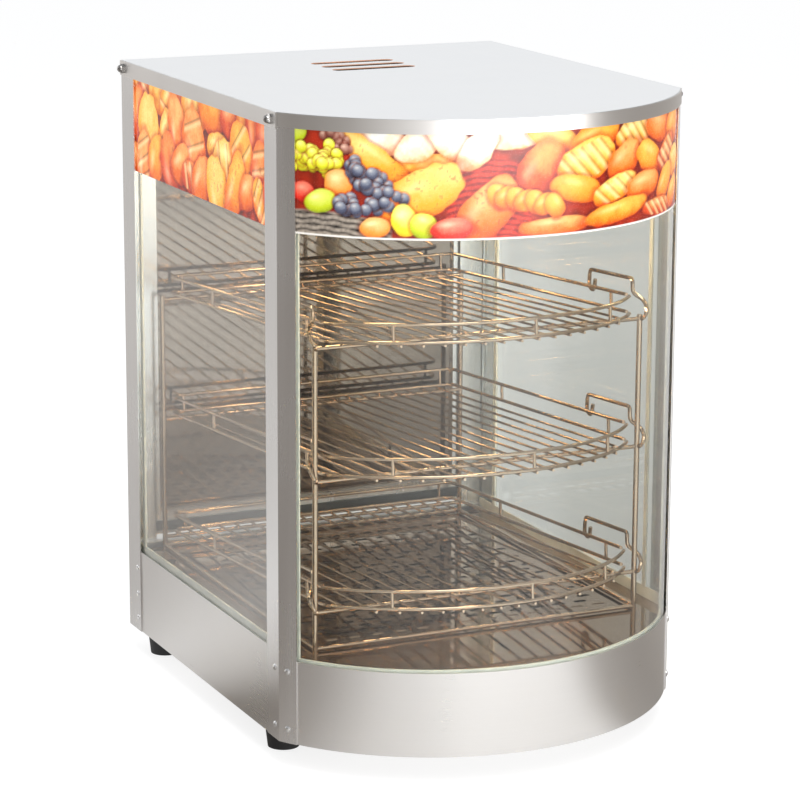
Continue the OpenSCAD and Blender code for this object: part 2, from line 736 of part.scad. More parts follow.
// Flat seal round the inside of the door
module door_gasket() color("dimgrey") difference() {
    y0 = rear_y - post_in + 0.5;
    block([-door_half_w + 4, y0, door_z + 4], [door_half_w - 4, door_y, door_top - 4]);
    block([-door_half_w + 14, y0 - 1, door_z + 14], [door_half_w - 14, door_y + 1, door_top - 14]);
    block([strike_x - 21, y0 - 1, door_top - 30], [strike_x + 21, door_y + 1, door_top + 1]);
}

// Upright pull bar on two stand-offs
module door_handle() color("dimgrey") {
    y0 = door_y + door_t;
    y1 = rear_y + rear_reach - 6;
    for (s = [-1, 1]) along(handle_x, y0, y1, handle_z + s * (handle_l / 2 - 12), 4.5);
    translate([handle_x, y1, handle_z - handle_l / 2]) cylinder(h = handle_l, r = 6, $fn = 32);
    for (s = [-1, 1]) along(handle_x, y0, y0 + 2, handle_z + s * (handle_l / 2 - 12), 8);
}

// The hinges are drawn at the left end of the door and set at its right end
module hinge_side() mirror([1, 0, 0]) children();

// One knuckle of a hinge from height z0 to z1, bored for the pin
module knuckle(z0, z1, bore_r) difference() {
    children();
    translate([hinge_x, hinge_y, z0 - 1]) cylinder(h = z1 - z0 + 2, r = bore_r, $fn = 32);
}

// Case half of each hinge: two knuckles on a bracket fixed to the rear post
module hinge_leaves_fixed() color("silver") hinge_side() for (zc = hinge_zs, s = [-1, 1]) {
    z0 = zc + (s > 0 ? hinge_seg / 2 + hinge_gap : -hinge_seg * 3 / 2);
    z1 = z0 + hinge_seg - hinge_gap;
    knuckle(z0, z1, hinge_pin_r) {
        translate([hinge_x, hinge_y, z0]) cylinder(h = z1 - z0, r = hinge_r, $fn = 32);
        block([hinge_x - hinge_r - 1.2, rear_y - post_in, z0], [hinge_x - hinge_r + 0.3, hinge_y, z1]);
        block([hinge_x - hinge_r - 1.2, rear_y - post_in, z0], [hinge_x + 4.5, rear_y - post_in + 1.5, z1]);
    }
}

// Door half of each hinge: the middle knuckle on a leaf screwed to the frame
module hinge_leaves_door() color("silver") hinge_side() for (zc = hinge_zs) {
    z0 = zc - hinge_seg / 2 + hinge_gap;
    z1 = zc + hinge_seg / 2 - hinge_gap;
    y0 = door_y + door_t;
    knuckle(z0, z1, hinge_pin_r + run_fit) {
        translate([hinge_x, hinge_y, z0]) cylinder(h = z1 - z0, r = hinge_r, $fn = 32);
        block([hinge_x, y0 + 2.2, z0], [hinge_x + 8, y0 + 3.6, z1]);
        block([hinge_x + 7, y0, z0], [hinge_x + 8.4, y0 + 3.6, z1]);
        block([hinge_x + 8, y0, z0], [hinge_x + 28, y0 + 1.4, z1]);
    }
}

module hinge_pins() color("gainsboro") hinge_side() for (zc = hinge_zs)
    translate([hinge_x, hinge_y, zc - hinge_seg * 3 / 2]) cylinder(h = 3 * hinge_seg, r = hinge_pin_r, $fn = 32);

strike_x = -140;

module door_magnet() color("saddlebrown")
    block([strike_x - 20, rear_y - liner_in + 0.5, door_top - 14], [strike_x + 20, rear_y + 0.4, rail_bottom]);
module door_strike() color("silver")
    block([strike_x - 18, rear_y + 0.9, door_top - 13], [strike_x + 18, door_y, door_top - 1]);

// ---- Fasteners and feet -------------------------------------------------

module dome_nuts() color("gainsboro") both_sides() for (y = [corner_y + nut_inset, rear_y - nut_inset])
    translate([half_w, y, nut_z]) rotate([0, 90, 0]) difference() {
        union() {
            cylinder(h = 3.2, r = 4.6, $fn = 6);
            intersection() {
                translate([0, 0, 3]) sphere(r = 3.9, $fn = 32);
                cylinder(h = 8, r = 5, $fn = 32);
            }
        }
        translate([0, 0, -1]) cylinder(h = 4, r = 2.4, $fn = 24);
    }

module corner_screws() color("silver") both_sides() for (y = [corner_y + nut_inset, rear_y - nut_inset]) {
    x0 = half_w - panel_in;
    across(x0 - 0.2, half_w + 2.9, y, nut_z, 2.35);
    across(x0 - 2.4, x0, y, nut_z, 4.2);
}

// A rivet along +Z with its domed head upwards, head seat at z = 0
module rivet() {
    translate([0, 0, -2 * sheet - 0.3]) cylinder(h = 2 * sheet + 0.8, r = rivet_r, $fn = 24);
    cylinder(h = 0.5, r = rivet_head_r, $fn = 24);
    intersection() {
        translate([0, 0, 0.5 - 3.5]) sphere(r = 4.6, $fn = 32);
        cylinder(h = 3, r = rivet_head_r - 0.1, $fn = 24);
    }
}

module rivets() color("gainsboro") both_sides() {
    x1 = half_w - post_in;
    for (z = front_rivet_zs) translate([x1, front_rivet_y, z]) rotate([0, 90, 0]) rivet();
    for (z = rear_rivet_zs) translate([x1, rear_rivet_y, z]) rotate([0, 90, 0]) rivet();
    for (z = front_rivet_zs) translate([0, front_cy, z]) rotate([0, 0, front_rivet_a - 90])
        translate([front_r - post_in, 0, 0]) rotate([0, 90, 0]) rivet();
    for (z = front_rivet_zs) translate([rear_face_rivet_x, rear_y - post_in, z]) rotate([-90, 0, 0]) rivet();
}

// Tapered rubber feet, recessed for their screws
module feet() color("black") for (s = [-1, 1], y = foot_ys) translate([s * foot_xs, y, 0]) difference() {
    cylinder(h = foot_h, r1 = foot_r - 3, r2 = foot_r, $fn = 48);
    translate([0, 0, -1]) cylinder(h = 15, r = 6, $fn = 32);
    cylinder(h = foot_h + 1, r = 2.6, $fn = 32);
}

module foot_screws() color("silver") for (s = [-1, 1], y = foot_ys) translate([s * foot_xs, y, 0]) {
    translate([0, 0, 11]) cylinder(h = 3, r = 5, $fn = 32);
    translate([0, 0, 13.5]) cylinder(h = foot_h - 13.5 + 9, r = 2.4, $fn = 32);
    translate([0, 0, foot_h + sheet]) cylinder(h = 4, r = 4.6, $fn = 6);
}

post_front_left();
post_front_right();
post_rear_left();
post_rear_right();
side_rail_left();
side_rail_right();
front_rail();
rear_rail();
top_panel();
ceiling_liner();
front_glass();
side_glass_left();
side_glass_right();
front_graphic();
side_graphic_left();
side_graphic_right();
glass_seals();
base_side_left();
base_side_right();
front_skirt();
control_panel();
bottom_plate();
deck_plate();
slotted_cover();
water_pan();
heating_element();
lamp_holders();
lamps();
rack_frame();
rack_arms();
shelf_bottom();
shelf_middle();
shelf_top();
guard_bottom();
guard_middle();
guard_top();
thermostat_body();
thermostat_sensor();
thermostat_shaft();
thermostat_knob();
switch_bodies();
power_rocker();
light_rocker();
indicator_lamp();
cable_gland();
terminal_block();
door_frame();
door_panel();
door_gasket();
door_handle();
hinge_leaves_fixed();
hinge_leaves_door();
hinge_pins();
door_magnet();
door_strike();
dome_nuts();
corner_screws();
rivets();
feet();
foot_screws();
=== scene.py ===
"""Looks for a countertop heated display case.

Satin steel, glass, a mirror-bright door lining, chrome wire shelves and a printed food band.
"""

import json
import math

import bmesh
import bpy
import numpy as np
from mathutils import Matrix, Vector


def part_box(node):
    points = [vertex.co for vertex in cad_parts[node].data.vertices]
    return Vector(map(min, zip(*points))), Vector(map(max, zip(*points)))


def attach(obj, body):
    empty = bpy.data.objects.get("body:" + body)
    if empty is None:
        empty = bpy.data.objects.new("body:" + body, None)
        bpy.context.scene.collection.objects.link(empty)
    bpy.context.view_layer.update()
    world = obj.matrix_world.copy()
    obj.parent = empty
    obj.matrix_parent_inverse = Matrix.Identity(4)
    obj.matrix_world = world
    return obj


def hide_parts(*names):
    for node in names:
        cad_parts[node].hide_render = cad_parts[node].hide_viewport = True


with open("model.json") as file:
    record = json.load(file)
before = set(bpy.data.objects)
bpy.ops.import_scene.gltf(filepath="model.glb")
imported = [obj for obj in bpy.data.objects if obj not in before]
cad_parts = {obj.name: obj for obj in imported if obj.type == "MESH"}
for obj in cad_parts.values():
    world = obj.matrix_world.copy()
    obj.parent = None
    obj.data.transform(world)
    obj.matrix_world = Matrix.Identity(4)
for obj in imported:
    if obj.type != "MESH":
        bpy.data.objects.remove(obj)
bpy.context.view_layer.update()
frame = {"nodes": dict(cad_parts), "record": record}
nodes = frame["nodes"]
scene = bpy.context.scene
slot_of = {p["node"]: p["material_slot"] for p in frame["record"]["subparts"]}

MM = 0.001
SEED = 11

# ---------------------------------------------------------------- node helpers

# The range in which most of a noise lies
NOISE_LOW, NOISE_HIGH = 0.3, 0.7


def new_material(name):
    """A material with its node tree and its shader."""
    mat = bpy.data.materials.new(name)
    mat.use_nodes = True
    return mat, mat.node_tree, mat.node_tree.nodes["Principled BSDF"]


def link(tree, a, b):
    """Join an output to an input."""
    tree.links.new(a, b)


def stretched_noise(tree, scale, detail=3.0):
    """A noise that varies at scale (per metre) along each axis of the piece."""
    coords = tree.nodes.new("ShaderNodeTexCoord")
    mapping = tree.nodes.new("ShaderNodeMapping")
    mapping.inputs["Scale"].default_value = scale
    noise = tree.nodes.new("ShaderNodeTexNoise")
    noise.inputs["Scale"].default_value = 1.0
    noise.inputs["Detail"].default_value = detail
    link(tree, coords.outputs["Object"], mapping.inputs["Vector"])
    link(tree, mapping.outputs["Vector"], noise.inputs["Vector"])
    return noise.outputs["Fac"]


def remap(tree, value, low, high):
    """Spread the usual range of a noise from low to high."""
    node = tree.nodes.new("ShaderNodeMapRange")
    node.inputs["From Min"].default_value = NOISE_LOW
    node.inputs["From Max"].default_value = NOISE_HIGH
    node.inputs["To Min"].default_value = low
    node.inputs["To Max"].default_value = high
    link(tree, value, node.inputs["Value"])
    return node.outputs["Result"]


def blend_colours(tree, value, dark, light):
    """Spread the usual range of a noise from a dark to a light colour."""
    ramp = tree.nodes.new("ShaderNodeValToRGB")
    ramp.color_ramp.elements[0].position = NOISE_LOW
    ramp.color_ramp.elements[1].position = NOISE_HIGH
    ramp.color_ramp.elements[0].color = (*dark, 1)
    ramp.color_ramp.elements[1].color = (*light, 1)
    link(tree, value, ramp.inputs["Fac"])
    return ramp.outputs["Color"]


def bump(tree, bsdf, height, strength, distance):
    """Small relief, in metres, from a height."""
    node = tree.nodes.new("ShaderNodeBump")
    node.inputs["Strength"].default_value = strength
    node.inputs["Distance"].default_value = distance
    link(tree, height, node.inputs["Height"])
    link(tree, node.outputs["Normal"], bsdf.inputs["Normal"])


def scaled(colour, k):
    """The colour made lighter or darker."""
    return tuple(min(1.0, c * k) for c in colour)


# ---------------------------------------------------------------- materials

# How fast the grain of rolled steel varies along each axis, per metre
ALONG_Y = (900, 4, 900)
ALONG_Z = (900, 900, 4)
ROUND = (5, 5, 900)
# Relief of the grain and of the waves in polished metal, in metres; how far the grain varies the roughness
GRAIN_DEPTH = 0.0002
WAVE_DEPTH = 0.004
GRAIN_ROUGH = 0.008


def steel(name, colour, rough, grain, depth=0.01, streak=0.012, cloud=0.03):
    """Rolled stainless sheet: fine streaks along the grain, and faint cloudy patches left by wiping."""
    mat, tree, bsdf = new_material(name)
    fine = stretched_noise(tree, grain)
    wiped = stretched_noise(tree, (14, 14, 10), 4.0)
    bsdf.inputs["Metallic"].default_value = 1.0
    tone = blend_colours(tree, fine, scaled(colour, 1 - streak), scaled(colour, 1 + streak))
    link(tree, tone, bsdf.inputs["Base Color"])
    grain_rough = remap(tree, fine, rough - GRAIN_ROUGH, rough + GRAIN_ROUGH)
    wipe_rough = remap(tree, wiped, -cloud, cloud)
    total = tree.nodes.new("ShaderNodeMath")
    link(tree, grain_rough, total.inputs[0])
    link(tree, wipe_rough, total.inputs[1])
    link(tree, total.outputs[0], bsdf.inputs["Roughness"])
    bump(tree, bsdf, fine, depth, GRAIN_DEPTH)
    return mat


def polished(name, colour, rough, waviness=0.02):
    """Mirror-bright metal with faint waviness and smears."""
    mat, tree, bsdf = new_material(name)
    smear = stretched_noise(tree, (30, 30, 30), 5.0)
    wave = stretched_noise(tree, (9, 9, 9), 1.0)
    bsdf.inputs["Metallic"].default_value = 1.0
    tone = blend_colours(tree, smear, scaled(colour, 0.94), scaled(colour, 1.05))
    link(tree, tone, bsdf.inputs["Base Color"])
    link(tree, remap(tree, smear, rough * 0.6, rough * 1.5), bsdf.inputs["Roughness"])
    bump(tree, bsdf, wave, waviness, WAVE_DEPTH)
    return mat


def glass(name, tint, shadow, index=1.46):
    """Clear float glass. Light from the lamps passes straight through it."""
    mat, tree, bsdf = new_material(name)
    smear = stretched_noise(tree, (12, 12, 12), 4.0)
    bsdf.inputs["Base Color"].default_value = (*tint, 1)
    bsdf.inputs["Transmission Weight"].default_value = 1.0
    bsdf.inputs["IOR"].default_value = index
    link(tree, remap(tree, smear, 0.0, 0.012), bsdf.inputs["Roughness"])
    through = tree.nodes.new("ShaderNodeBsdfTransparent")
    through.inputs["Color"].default_value = (*shadow, 1)
    path = tree.nodes.new("ShaderNodeLightPath")
    mix = tree.nodes.new("ShaderNodeMixShader")
    link(tree, path.outputs["Is Shadow Ray"], mix.inputs["Fac"])
    link(tree, bsdf.outputs["BSDF"], mix.inputs[1])
    link(tree, through.outputs["BSDF"], mix.inputs[2])
    link(tree, mix.outputs["Shader"], tree.nodes["Material Output"].inputs["Surface"])
    return mat


def plastic(name, colour, rough, grain=1500, depth=0.15, spread=0.12):
    """Moulded plastic or rubber: fine spark texture and slight tone changes."""
    mat, tree, bsdf = new_material(name)
    spark = stretched_noise(tree, (grain, grain, grain), 2.0)
    patches = stretched_noise(tree, (40, 40, 40), 3.0)
    tone = blend_colours(tree, patches, scaled(colour, 1 - spread), scaled(colour, 1 + spread))
    link(tree, tone, bsdf.inputs["Base Color"])
    link(tree, remap(tree, spark, rough - 0.06, rough + 0.06), bsdf.inputs["Roughness"])
    bump(tree, bsdf, spark, depth, GRAIN_DEPTH)
    return mat


def lamp_glass(name, colour, strength):
    """Frosted bulb: the frost makes its light a little uneven."""
    mat, tree, bsdf = new_material(name)
    frost = stretched_noise(tree, (300, 300, 300), 2.0)
    bsdf.inputs["Base Color"].default_value = (1.0, 0.93, 0.82, 1)
    link(tree, remap(tree, frost, 0.35, 0.55), bsdf.inputs["Roughness"])
    tone = blend_colours(tree, frost, scaled(colour, 0.9), colour)
    link(tree, tone, bsdf.inputs["Emission Color"])
    bsdf.inputs["Emission Strength"].default_value = strength
    return mat


WARM = (1.0, 0.78, 0.46)
materials = {
    "frame_steel": steel("frame_steel", (0.73, 0.72, 0.715), 0.26, ALONG_Z, 0.003),
    "panel_steel": steel("panel_steel", (0.70, 0.685, 0.67), 0.29, ROUND, 0.002, 0.006, 0.015),
    # The top's steel is lighter and cooler than the sides: painted sky light on the top
    "top_steel": steel("top_steel", (0.80, 0.82, 0.84), 0.34, ALONG_Y, 0.004, 0.008),
    "inner_steel": steel("inner_steel", (0.60, 0.58, 0.56), 0.22, ALONG_Y),
    # The deck, mirror lining and wires are tinted dark brown: painted warm lamp light and painted dark
    # reflections of the case's inside
    "deck_steel": polished("deck_steel", (0.46, 0.33, 0.23), 0.05, 0.006),
    "mirror_steel": polished("mirror_steel", (0.32, 0.265, 0.22), 0.04, 0.006),
    "chrome_wire": polished("chrome_wire", (0.62, 0.48, 0.36), 0.06, 0.0),
    "bright_metal": polished("bright_metal", (0.74, 0.74, 0.74), 0.12, 0.0),
    "case_glass": glass("case_glass", (0.94, 0.975, 0.96), (0.88, 0.91, 0.89)),
    "pale_seal": plastic("pale_seal", (0.62, 0.61, 0.55), 0.45),
    "dark_gasket": plastic("dark_gasket", (0.035, 0.035, 0.035), 0.65),
    "foot_rubber": plastic("foot_rubber", (0.015, 0.015, 0.016), 0.60, 900, 0.3),
    "black_plastic": plastic("black_plastic", (0.02, 0.02, 0.02), 0.45),
    "handle_plastic": plastic("handle_plastic", (0.02, 0.02, 0.022), 0.38),
    "red_rocker": plastic("red_rocker", (0.62, 0.02, 0.015), 0.22, depth=0.05),
    "green_rocker": plastic("green_rocker", (0.02, 0.30, 0.06), 0.22, depth=0.05),
    "amber_lens": plastic("amber_lens", (0.85, 0.22, 0.02), 0.15, depth=0.05),
    "thermostat_case": plastic("thermostat_case", (0.62, 0.52, 0.36), 0.55),
    "copper_sensor": polished("copper_sensor", (0.78, 0.42, 0.26), 0.18),
    "holder_white": plastic("holder_white", (0.82, 0.81, 0.76), 0.25),
    "lamp_glass": lamp_glass("lamp_glass", WARM, 150.0),
    "element_metal": plastic("element_metal", (0.10, 0.095, 0.09), 0.5, 600, 0.3),
    "magnet_case": plastic("magnet_case", (0.16, 0.08, 0.035), 0.5),
}
rail_steel = steel("rail_steel", (0.68, 0.66, 0.64), 0.33, ROUND, 0.003, 0.006)
RAILS = ("front_rail", "side_rail_left", "side_rail_right", "rear_rail")
for name, piece in nodes.items():
    if slot_of[name] == "printed_band":
        continue
    piece.data.materials.clear()
    piece.data.materials.append(rail_steel if name in RAILS else materials[slot_of[name]])


# ---------------------------------------------------------------- finishes of single parts


def refinish(tree, mask, colour, rough):
    """Where the mask is 1, give the metal another colour and roughness."""
    bsdf = tree.nodes["Principled BSDF"]
    tones = tree.nodes.new("ShaderNodeMix")
    tones.data_type = "RGBA"
    link(tree, mask, tones.inputs["Factor"])
    link(tree, bsdf.inputs["Base Color"].links[0].from_socket, tones.inputs["A"])
    tones.inputs["B"].default_value = (*colour, 1)
    link(tree, tones.outputs["Result"], bsdf.inputs["Base Color"])
    finish = tree.nodes.new("ShaderNodeMix")
    link(tree, mask, finish.inputs["Factor"])
    link(tree, bsdf.inputs["Roughness"].links[0].from_socket, finish.inputs["A"])
    finish.inputs["B"].default_value = rough
    link(tree, finish.outputs["Result"], bsdf.inputs["Roughness"])


def between(tree, value, start, end):
    """A smooth step that is 0 at start and 1 at end."""
    node = tree.nodes.new("ShaderNodeMapRange")
    node.inputs["From Min"].default_value = start
    node.inputs["From Max"].default_value = end
    link(tree, value, node.inputs["Value"])
    return node.outputs["Result"]


def product(tree, a, b):
    """One value times another."""
    node = tree.nodes.new("ShaderNodeMath")
    node.operation = "MULTIPLY"
    link(tree, a, node.inputs[0])
    link(tree, b, node.inputs[1])
    return node.outputs[0]


# Share of its reach in which the painted vent shade is full, its roughness, and how deep the painted glow
# starts and is full
VENT_SHADE_CORE = 0.6
VENT_SHADE_ROUGH = 0.5
RIM_FOOT, RIM_TOP = 0.0012, 0.0006


def paint_vent_shade(mat, centre, reach, facing, colour, glow=None):
    """Painted shade round the vents, dark brown: on faces turned up (facing 1) or on slot walls (facing 0).

    The painted shade is full within its core share of the reach. A painted glow of lamp light, if given,
    lies on the upper rim of the walls.
    """
    tree = mat.node_tree
    where = tree.nodes.new("ShaderNodeNewGeometry")
    apart = tree.nodes.new("ShaderNodeVectorMath")
    apart.operation = "DISTANCE"
    apart.inputs[1].default_value = centre
    link(tree, where.outputs["Position"], apart.inputs[0])
    turned = tree.nodes.new("ShaderNodeSeparateXYZ")
    link(tree, where.outputs["True Normal"], turned.inputs[0])
    steep = between(tree, turned.outputs["Z"], 1 - facing, facing)
    mask = product(tree, between(tree, apart.outputs["Value"], reach, reach * VENT_SHADE_CORE), steep)
    refinish(tree, mask, colour, VENT_SHADE_ROUGH)
    if glow:
        height = tree.nodes.new("ShaderNodeSeparateXYZ")
        link(tree, where.outputs["Position"], height.inputs[0])
        rim = between(tree, height.outputs["Z"], centre.z - RIM_FOOT, centre.z - RIM_TOP)
        bsdf = tree.nodes["Principled BSDF"]
        bsdf.inputs["Emission Color"].default_value = (*glow, 1)
        link(tree, product(tree, mask, rim), bsdf.inputs["Emission Strength"])


top_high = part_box("top_panel")[1]
VENT_FROM_REAR = 0.131
vent_centre = Vector((0.0, top_high.y - VENT_FROM_REAR, top_high.z))
seen_below_vents = vent_centre + Vector((-0.02, 0.05, 0))
liner_steel = steel("liner_steel", (0.60, 0.58, 0.56), 0.22, ALONG_Y)
nodes["ceiling_liner"].data.materials[0] = liner_steel
# Painted shade: the liner's upturned faces seen through the vents are darkened brown, and the vent walls
# are darkened brown with a painted lamp glow on their upper rim
paint_vent_shade(liner_steel, seen_below_vents, 0.13, 1, (0.05, 0.025, 0.015))
paint_vent_shade(materials["top_steel"], vent_centre, 0.12, 0, (0.07, 0.035, 0.022), (0.62, 0.36, 0.25))
left_glass = glass("side_glass", (0.95, 0.975, 0.965), (0.88, 0.91, 0.89), 1.6)
nodes["side_glass_left"].data.materials[0] = left_glass


def plain_outside(mat, colour, rough):
    """Give the face that looks out of the door an ordinary mill finish."""
    tree = mat.node_tree
    coords = tree.nodes.new("ShaderNodeTexCoord")
    parts = tree.nodes.new("ShaderNodeSeparateXYZ")
    link(tree, coords.outputs["Normal"], parts.inputs[0])
    refinish(tree, between(tree, parts.outputs["Y"], 0.4, 0.6), colour, rough)


plain_outside(materials["mirror_steel"], (0.68, 0.67, 0.66), 0.24)
# The dome nuts are darkened: painted shade of the recesses and washers round them
nut_painted_shade = polished("nut_painted_shade", (0.30, 0.29, 0.28), 0.10, 0.0)
nodes["dome_nuts"].data.materials[0] = nut_painted_shade

# ---------------------------------------------------------------- printed food band


def value_noise(u, v, cell, rng):
    """Smooth random field over the picture, with features of about cell."""
    gu, gv = int(u.max() / cell) + 3, int(v.max() / cell) + 3
    grid = rng.random((gv, gu))
    x, y = u / cell, v / cell
    i, j = np.floor(x).astype(int), np.floor(y).astype(int)
    fx, fy = x - i, y - j
    fx, fy = fx * fx * (3 - 2 * fx), fy * fy * (3 - 2 * fy)
    top = grid[j, i] * (1 - fx) + grid[j, i + 1] * fx
    low = grid[j + 1, i] * (1 - fx) + grid[j + 1, i + 1] * fx
    return top * (1 - fy) + low * fy


# Colours of the picture's shadows, slashes in the crust, char and shine
SHADOW_RED = (0.34, 0.02, 0.004)
SHADOW_TINT = np.array((0.50, 0.90, 0.97))
CRUMB = np.array((1.0, 0.72, 0.34))
CHAR = np.array((0.35, 0.06, 0.01))
SHINE = np.array((1.0, 0.85, 0.6))


class Picture:
    """A picture of food, in millimetres, painted from back to front as lit, rounded shapes."""

    def __init__(self, width, height, step, seed):
        self.rng = np.random.default_rng(seed)
        self.columns = int(round(width / step)) + 1
        self.rows = int(round(height / step)) + 1
        line_u = np.linspace(0, width, self.columns)
        line_v = np.linspace(0, height, self.rows)
        self.u, self.v = np.meshgrid(line_u, line_v)
        self.soft = step * 0.9
        self.rgb = np.ones((self.rows, self.columns, 3)) * SHADOW_RED
        coarse = value_noise(self.u, self.v, 9.0, self.rng)
        self.rgb *= (0.5 + coarse)[..., None]
        self.fine = value_noise(self.u, self.v, 2.2, self.rng)
        self.mottle = value_noise(self.u, self.v, 8.0, self.rng)

    def body(
        self, cu, cv, a, b, turn, tones, shine=0.2, power=2.0, crust=0.08, char=0.0, cuts=0, bend=0.0
    ):
        """One rounded thing: half length a, half width b, turned and bowed.

        Its tones run from rim to lit top. It can be charred in dots, and have cuts across its crust.
        """
        c, s = math.cos(turn), math.sin(turn)
        x = (self.u - cu) * c + (self.v - cv) * s
        y = -(self.u - cu) * s + (self.v - cv) * c
        y = y - bend * (x / a) ** 2 * b
        p, q = np.abs(x / a), np.abs(y / b)
        radius = (p**power + q**power) ** (1 / power) * (1 + 0.16 * (self.mottle - 0.5))
        mask = np.clip((1 - radius) * b / self.soft, 0, 1)[..., None]
        halo = np.clip(1.25 - radius, 0, 0.25)[..., None] * 2.8
        self.rgb = self.rgb * (1 - halo * (1 - mask) * SHADOW_TINT)
        height = np.sqrt(np.clip(1 - radius**2, 0, 1))
        rise = np.clip((x * s + y * c) / b, -1, 1)
        light = 0.20 + 0.52 * height + 0.34 * rise + crust * (self.fine + 2 * self.mottle - 1.5)
        light = light[..., None]
        rim, middle, lit = (np.array(t) for t in tones)
        low = np.clip(light / 0.5, 0, 1)
        top = np.clip((light - 0.5) / 0.5, 0, 1)
        shade = rim * (1 - low) + middle * low
        shade = shade * (1 - top) + lit * top
        for k in range(cuts):
            at = (k + 0.5) / cuts * 2 - 1
            across = ((x / a) - at * 0.85 + 0.3 * y / b) * a
            inside = (q < 0.8)[..., None]
            slash = np.exp(-((across / 2.6) ** 2))[..., None] * inside
            crease = np.exp(-(((across - 4.0) / 1.5) ** 2))[..., None] * inside
            shade = shade * (1 - 0.65 * slash) + CRUMB * 0.65 * slash
            shade = shade * (1 - 0.5 * crease)
        if char:
            dots = np.clip((self.fine + 0.5 * self.mottle - 1.02) * 6, 0, 1)
            dots = (dots * np.clip(height * 1.8, 0, 1))[..., None]
            shade = shade * (1 - char * dots) + CHAR * char * dots
        spot = np.exp(-(((x / a + 0.2) / 0.36) ** 2 + ((y / b - 0.42) / 0.22) ** 2))
        shade = shade + shine * spot[..., None] * SHINE
        self.rgb = self.rgb * (1 - mask) + np.clip(shade, 0, 1.2) * mask

    def bunch(self, u0, v0, u1, v1, reach, size, tones, count):
        """Berries scattered round the line between two points."""
        for _ in range(count):
            t = self.rng.uniform(0, 1)
            du, dv = self.rng.normal(0, reach, 2)
            r = size * self.rng.uniform(0.85, 1.1)
            at, level = u0 + (u1 - u0) * t + du, v0 + (v1 - v0) * t + dv * 0.8
            self.body(at, level, r, r, 0.0, tones, shine=0.30, crust=0.05)

    def braid(self, u0, v0, u1, v1, thick, tones, count):
        """A plaited roll: overlapping knots along a line."""
        lean = math.atan2(v1 - v0, u1 - u0)
        for k in range(count):
            t = (k + 0.5) / count
            side = 0.7 if k % 2 else -0.7
            at, level = u0 + (u1 - u0) * t, v0 + (v1 - v0) * t
            self.body(at, level, thick * 1.25, thick, lean + side, tones, shine=0.18)

    def wicker(self, u0, u1, v1, tones, sag):
        """A basket's side: bowed strands that pass over and under its stakes."""
        bowed = self.v + sag * ((self.u - (u0 + u1) / 2) / (u1 - u0)) ** 2 * 4
        ends = np.clip((u1 - self.u) / 3, 0, 1) * np.clip((self.u - u0) / 3, 0, 1)
        inside = np.clip((v1 - bowed) / 2, 0, 1) * ends
        weave = 0.35 * np.sin(self.u * 0.30) * np.sign(np.sin(bowed * 0.31))
        strand = np.abs(np.sin(bowed * 0.62 + weave))
        strand = (strand * (0.6 + 0.6 * self.fine))[..., None]
        dark, light = (np.array(t) for t in tones)
        inside = inside[..., None]
        self.rgb = self.rgb * (1 - inside) + (dark * (1 - strand) + light * strand) * inside

    def loaves(self, u0, u1, height, rows, size):
        """Rows of mixed loaves and rolls, the upper rows behind the lower ones."""
        for row in range(rows):
            level = height * (1.0 - (row + 0.4) / rows)
            at = u0 + self.rng.uniform(0, size * 0.5)
            while at < u1:
                a = size * self.rng.uniform(0.75, 1.25)
                b = a * self.rng.uniform(0.5, 0.8)
                kind = BREAD[int(self.rng.integers(0, 4))]
                lean = self.rng.uniform(-0.4, 2.2)
                up = level + self.rng.normal(0, height * 0.05)
                char = float(self.rng.choice([0, 0.5]))
                cuts = int(self.rng.choice([0, 0, 0, 0, 0, 3]))
                bend = self.rng.uniform(-0.3, 0.3)
                self.body(at, up, a, b, lean, kind, shine=0.32, crust=0.16, char=char, cuts=cuts, bend=bend)
                at += b * self.rng.uniform(1.3, 1.9)


# Tones of each food from its rim to its lit top
BREAD = (
    ((0.62, 0.05, 0.003), (0.98, 0.26, 0.014), (1.0, 0.56, 0.08)),
    ((0.36, 0.012, 0.002), (0.74, 0.07, 0.006), (0.98, 0.36, 0.08)),
    ((0.80, 0.12, 0.005), (1.0, 0.42, 0.03), (1.0, 0.74, 0.22)),
    ((0.48, 0.03, 0.003), (0.90, 0.17, 0.012), (1.0, 0.50, 0.15)),
)
CLOTH = ((0.90, 0.42, 0.16), (1.0, 0.80, 0.56), (1.0, 0.97, 0.88))
GREEN_GRAPE = ((0.34, 0.34, 0.01), (0.80, 0.78, 0.02), (0.98, 1.0, 0.22))
DARK_GRAPE = ((0.012, 0.012, 0.03), (0.09, 0.10, 0.16), (0.40, 0.44, 0.52))
RED_GRAPE = ((0.05, 0.01, 0.01), (0.30, 0.10, 0.07), (0.78, 0.46, 0.36))
PEACH = ((0.62, 0.05, 0.01), (0.98, 0.34, 0.05), (1.0, 0.72, 0.30))
APPLE = ((0.30, 0.004, 0.004), (0.80, 0.03, 0.015), (1.0, 0.32, 0.20))
PEAR = ((0.22, 0.30, 0.005), (0.60, 0.70, 0.02), (0.90, 0.98, 0.20))
LEMON = ((0.80, 0.40, 0.005), (1.0, 0.80, 0.03), (1.0, 0.97, 0.40))
DARK_WICKER = ((0.012, 0.010, 0.010), (0.40, 0.34, 0.28))
RED_WICKER = ((0.22, 0.002, 0.002), (0.78, 0.05, 0.02))

